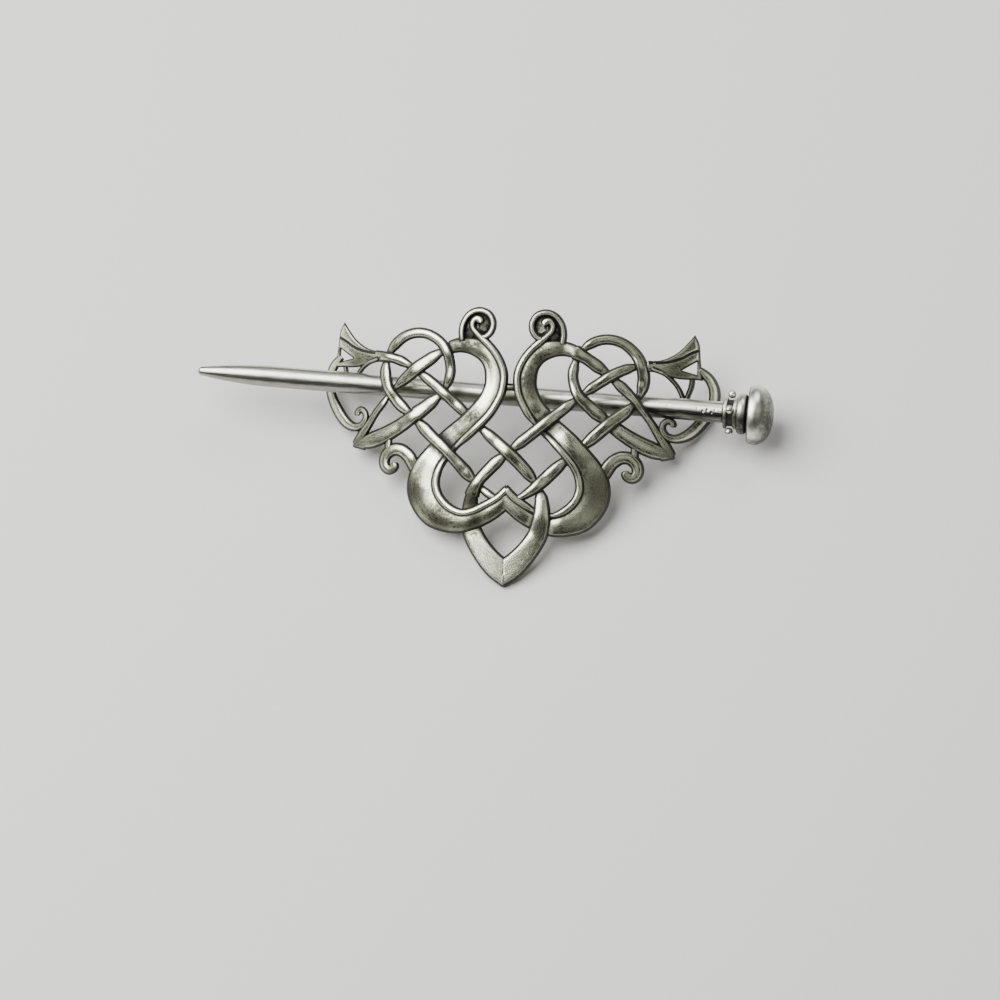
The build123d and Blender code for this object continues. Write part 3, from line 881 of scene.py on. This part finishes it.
def tarnish_at(points):
    """Tarnish and painted shade of each point, from the chart's spots."""
    places = np.array(points)[:, :2] / (square_x, square_y)
    value = np.zeros(len(places))
    for x, y, radius, strength in TARNISH_AND_SHADE:
        away = np.hypot(places[:, 0] - x, places[:, 1] - y) / radius
        spot = strength * (1 - smoothstep(*spot_edge, away))
        value = np.where(np.abs(spot) > np.abs(value), spot, value)
    return value


def finish_metal(piece, neighbours, material, body, node, slot, grain, **values):
    """Gives a piece its values per point, its material, and its place in the model."""
    mesh = piece.data
    float_attribute(mesh, "cavity", cavities([mesh] + [other.data for other in neighbours]))
    for name, usual in (("line", 1.0), ("groove", 1.0), ("under", 0.0), ("tarnish", 0.0)):
        float_attribute(mesh, name, values.get(name, [usual] * len(mesh.vertices)))
    grain_map(mesh, grain)
    mesh.materials.append(material)
    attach(piece, body)
    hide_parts(node)


def knotwork(material):
    """The whole plate as one mesh."""
    woven_strands()
    loose_strands()
    scroll_floors()
    fishtails()
    piece = mesh_object("knotwork_casting", casting.points, casting.faces, plate_place)
    finish_metal(piece, [], material, "plate", "knot_plate", "antique_silver", casting.grain,
                 line=casting.line, groove=casting.groove, under=casting.under,
                 tarnish=tarnish_at(casting.points) - np.array(casting.worn))


# The stick's pieces are turned: each profile lists places along the axis and radii there.
def rounded(corners, radius):
    """A profile with each inner corner rounded: corners are (x, radius) pairs."""
    places = [Vector(corners[0])]
    for before, corner, after in zip(corners, corners[1:], corners[2:]):
        corner = Vector(corner)
        back = Vector(before) - corner
        on = Vector(after) - corner
        cut = min(radius, back.length * 0.45, on.length * 0.45)
        start = corner + back.normalized() * cut
        end = corner + on.normalized() * cut
        for t in np.linspace(0, 1, 5):
            places.append(start.lerp(corner, t).lerp(corner.lerp(end, t), t))
    places.append(Vector(corners[-1]))
    return [(place.x, place.y) for place in places]


def lathe(profile, shape=None):
    """A closed solid of revolution; shape changes the radius at a place and an angle."""
    points = []
    grain = []
    for x, radius in profile:
        for k in range(lathe_turns):
            angle = 2 * math.pi * k / lathe_turns
            r = radius + (shape(x, angle) if shape and radius > 0.1 else 0.0)
            points.append((x, r * math.cos(angle), r * math.sin(angle)))
            grain.append((x, radius * abs(math.remainder(angle, 2 * math.pi))))
    return points, tube(len(profile), lathe_turns), grain


def shaded_low_side(x, y, z):
    """1 on the side of a turned piece that lies towards the plate's tip, where painted shade is laid, 0
    on the other.
    """
    return float(smoothstep(-shade_side_span, shade_side_span, -y / math.hypot(y, z)))


def ripple(x, angle, size, height, sink=0.0):
    """Slow unevenness of a surface, sunk to stay inside the CAD part."""
    around = Vector((x / size, 1.5 * math.cos(angle), 1.5 * math.sin(angle)))
    return height * noise.noise(around) - sink


# Pits near the collar: distance from it, degrees from the front, radius and depth.
PITS = [
    (3.4, 6, 0.42, 0.20), (2.5, -7, 0.34, 0.17), (4.4, -3, 0.36, 0.16), (1.7, 9, 0.24, 0.12),
    (5.6, 10, 0.26, 0.10), (7.5, -16, 0.30, 0.08), (12.0, 14, 0.26, 0.07), (30.0, -20, 0.3, 0.07),
]


def shaft_shape(x, angle):
    """The shaft's unevenness and its pits."""
    change = ripple(x, angle, size=9.0, height=0.016)
    for before, turned, radius, deep in PITS:
        along = x - (shaft_length - before)
        turn = math.remainder(angle - math.pi / 2 + math.radians(turned), 2 * math.pi)
        away = math.hypot(along, shaft_diameter / 2 * turn) / radius
        if away < 1:
            change -= deep * (1 - away * away) ** 2
    return change


def shaft_profile():
    """A round nose, a taper, an even length, and close rows where the pits are."""
    tip = tip_diameter / 2
    full = shaft_diameter / 2
    nose = [(tip - tip * math.cos(a), tip * math.sin(a)) for a in np.linspace(0.05, math.pi / 2, 8)]
    taper = [(tip + (taper_length - tip) * t, full - (full - tip) * (1 - t) ** taper_curve)
             for t in np.linspace(0, 1, 22)[1:]]
    pitted_from = shaft_length - pitted_length
    even = [(x, full) for x in np.arange(taper_length + 1, pitted_from, 1.0)]
    close = [(x, full) for x in np.arange(pitted_from, shaft_length - 0.2, pitted_step)]
    edge = [(shaft_length - 0.1, full - 0.03), (shaft_length, full - 0.15)]
    return nose + taper + even + close + edge


def beads():
    """Small balls round the collar."""
    points = []
    faces = []
    middle = (collar_start + disc_start - seat_gap) / 2
    radius = bead_diameter / 2
    rows = 12
    columns = 20
    centre = Vector((middle, 0, collar_diameter / 2 + bead_diameter * bead_stand))
    for bead in range(bead_count):
        base = len(points)
        turn = Matrix.Rotation(2 * math.pi * bead / bead_count - math.radians(bead_turn), 4, "X")
        for i in range(rows + 1):
            polar = math.pi * i / rows
            for k in range(columns):
                around = 2 * math.pi * k / columns
                out = radius * math.sin(polar)
                local = Vector((out * math.cos(around), out * math.sin(around), radius * math.cos(polar)))
                points.append(tuple(turn @ (centre + local)))
        for i in range(rows):
            for k in range(columns):
                j = (k + 1) % columns
                faces.append((base + i * columns + k, base + (i + 1) * columns + k,
                              base + (i + 1) * columns + j, base + i * columns + j))
    return points, faces


# Each turned piece returns its points, faces and grain, and the line and tarnish value of each point,
# which on these pieces is mostly painted shade on the low side.
def shaft():
    points, faces, grain = lathe(shaft_profile(), shaft_shape)
    # Painted shade on the shaft's low side, with tarnish added towards the head.
    painted_shade = []
    for point in points:
        more = shaft_shade_more * float(smoothstep(*shaft_shade_from, point[0]))
        painted_shade.append(shaded_low_side(*point) * (shaft_shade + more))
    return points, faces, grain, [1.0] * len(points), painted_shade


def collar():
    flange = collar_diameter / 2
    waist = collar_waist / 2
    end = disc_start - seat_gap
    profile = rounded([
        (collar_start, bore), (collar_start, flange), (collar_start + flange_length, flange),
        (collar_start + flange_length + 0.1, waist), (end - flange_length - 0.1, waist),
        (end - flange_length, flange), (end, flange), (end, bore)], flange_round)
    points, faces, grain = lathe(profile)
    line = [flange_line - max(flange - 0.1 - math.hypot(y, z), 0) for x, y, z in points]
    # Painted shade on the collar's low side.
    painted_shade = [collar_shade * shaded_low_side(*point) for point in points]
    balls, ball_faces = beads()
    faces += [tuple(len(points) + i for i in face) for face in ball_faces]
    grain += [ball[:2] for ball in balls]
    return points + balls, faces, grain, line + [bead_line] * len(balls), painted_shade + [0.0] * len(balls)


def disc():
    half = disc_diameter / 2
    end = neck_start - seat_gap
    shoulder = half - disc_length / 3
    middle = (disc_start + end) / 2
    bulge = [(middle - (middle - disc_start) * math.cos(a), shoulder + (half - shoulder) * math.sin(a))
             for a in np.linspace(0, math.pi, 15)]
    profile = [(disc_start, bore)] + bulge + [(end, bore)]
    points, faces, grain = lathe(profile, lambda x, angle: ripple(x, angle, 4.0, height=0.05, sink=0.03))
    line = [min(disc_line - max(shoulder - math.hypot(y, z), 0), end - x) for x, y, z in points]
    # The last list is painted shade on the disc's low side.
    return points, faces, grain, line, [disc_shade * shaded_low_side(*point) for point in points]


def head():
    half = head_diameter / 2
    neck = collar_diameter / 2
    widest = head_start + head_shoulder
    crown = head_start + head_length
    back = half * head_back
    rim = [(head_start + head_shoulder * (1 - math.cos(a)), back + (half - back) * math.sin(a))
           for a in np.linspace(0, math.pi / 2, 8)]
    dome = [(widest + (crown - widest) * math.sin(a), half * math.cos(a) ** dome_fullness)
            for a in np.linspace(0, math.pi / 2, 34)[1:-1]]
    profile = [(neck_start, bore), (neck_start, neck), (head_start, neck)] + rim + dome + [(crown, 0.02)]
    points, faces, grain = lathe(profile, lambda x, angle: ripple(x, angle, 5.0, height=0.06, sink=0.04))
    line = [(x - head_start) * head_line for x, y, z in points]
    # Painted shade on the low side, the lower edge and the crown, and painted light on the upper side.
    painted_shade = []
    for x, y, z in points:
        low = shaded_low_side(x, y, z)
        edge = float(smoothstep(0.70, 1.0, abs(y) / half))
        crown_side = float(smoothstep(widest, crown, x))
        tarnish = min(head_edge_shade * edge * low + head_crown_shade * crown_side, head_shade_limit)
        painted_shade.append(tarnish - head_painted_light * (1 - low))
    return points, faces, grain, line, painted_shade


def stick(shaft_metal, cast_metal):
    """The four turned pieces, finished with regard to each other."""
    made = [
        ("stick_shaft", "satin_silver", shaft_metal, shaft()),
        ("beaded_collar", "antique_silver", cast_metal, collar()),
        ("end_disc", "antique_silver", cast_metal, disc()),
        ("domed_head", "antique_silver", cast_metal, head()),
    ]
    pieces = [mesh_object(node + "_finished", shape[0], shape[1], stick_place)
              for node, _, _, shape in made]
    for piece, (node, slot, metal, shape) in zip(pieces, made):
        neighbours = [other for other in pieces if other is not piece]
        grain, line, tarnish = shape[2:]
        finish_metal(piece, neighbours, metal, "stick", node, slot, grain, line=line, tarnish=tarnish)


knotwork(antique_silver("antique_silver", CAST_DARK, CAST_BRIGHT, smoothest=0.22, roughest=0.31))
stick(satin_silver(), antique_silver(
    "dull_antique_silver", DULL_CAST_DARK, DULL_CAST_BRIGHT, smoothest=0.30, roughest=0.38))


# Floor, light and camera
def floor():
    mesh = bpy.data.meshes.new("floor")
    reach = 4.0
    z = float(cad_box[0][2])
    corners = [(-reach, -reach, z), (reach, -reach, z), (reach, reach, z), (-reach, reach, z)]
    mesh.from_pydata(corners, [], [(0, 1, 2, 3)])
    ground = bpy.data.objects.new("floor", mesh)
    bpy.context.scene.collection.objects.link(ground)
    n = Nodes("floor")
    n.shader.inputs["Base Color"].default_value = (0.74, 0.735, 0.72, 1)
    n.shader.inputs["Roughness"].default_value = 0.7
    mesh.materials.append(n.material)


def lamp(name, place, size, power):
    """A round soft lamp in metres and watts, aimed at the thing's middle."""
    data = bpy.data.lights.new(name, "AREA")
    data.shape = "DISK"
    data.size = size
    data.energy = power
    made = bpy.data.objects.new(name, data)
    made.location = place
    made.rotation_mode = "QUATERNION"
    made.rotation_quaternion = (Vector((0, 0, 0.02)) - Vector(place)).to_track_quat("-Z", "Y")
    bpy.context.scene.collection.objects.link(made)


def world(colour, strength):
    made = bpy.data.worlds.new("studio")
    made.use_nodes = True
    back = made.node_tree.nodes["Background"]
    back.inputs["Color"].default_value = colour
    back.inputs["Strength"].default_value = strength
    bpy.context.scene.world = made


photo_width = 1000  # pixels
pixel = 0.215  # millimetres at the plate
plate_pixel = (508.3, 430.0)  # the chart's origin in the photograph
photo_roll = 2.2  # degrees that the plate is turned clockwise in the picture
photo_side = 6.0  # degrees that the camera stands to the plate's right
camera_distance = 2500.0


def camera():
    roll = math.radians(photo_roll)
    side = math.radians(photo_side)
    back = Vector((math.sin(side), 0, math.cos(side)))
    up = Vector((-math.sin(roll), math.cos(roll), 0))
    right = up.cross(back).normalized()
    up = back.cross(right)
    half = photo_width / 2
    aim = right * (half - plate_pixel[0]) * pixel - up * (half - plate_pixel[1]) * pixel
    turn = Matrix((right, up, back)).transposed().to_4x4()
    data = bpy.data.cameras.new("camera")
    data.sensor_width = 36.0
    data.lens = data.sensor_width * camera_distance / (photo_width * pixel)
    data.clip_end = 20.0
    made = bpy.data.objects.new("camera", data)
    spot = plate_place @ Matrix.Translation(aim + back * camera_distance) @ turn
    made.rotation_mode = "QUATERNION"
    made.location = spot.translation * METRE
    made.rotation_quaternion = spot.to_quaternion()
    bpy.context.scene.collection.objects.link(made)
    bpy.context.scene.camera = made


floor()
world((0.90, 0.92, 0.92, 1), 0.03)
lamp("key", (-0.40, 0.05, 0.73), size=0.92, power=17.5)
lamp("top_fill", (0.20, 0.50, 0.50), size=0.45, power=1.8)
lamp("side_fill", (0.55, -0.12, 0.55), size=0.60, power=0.4)
camera()
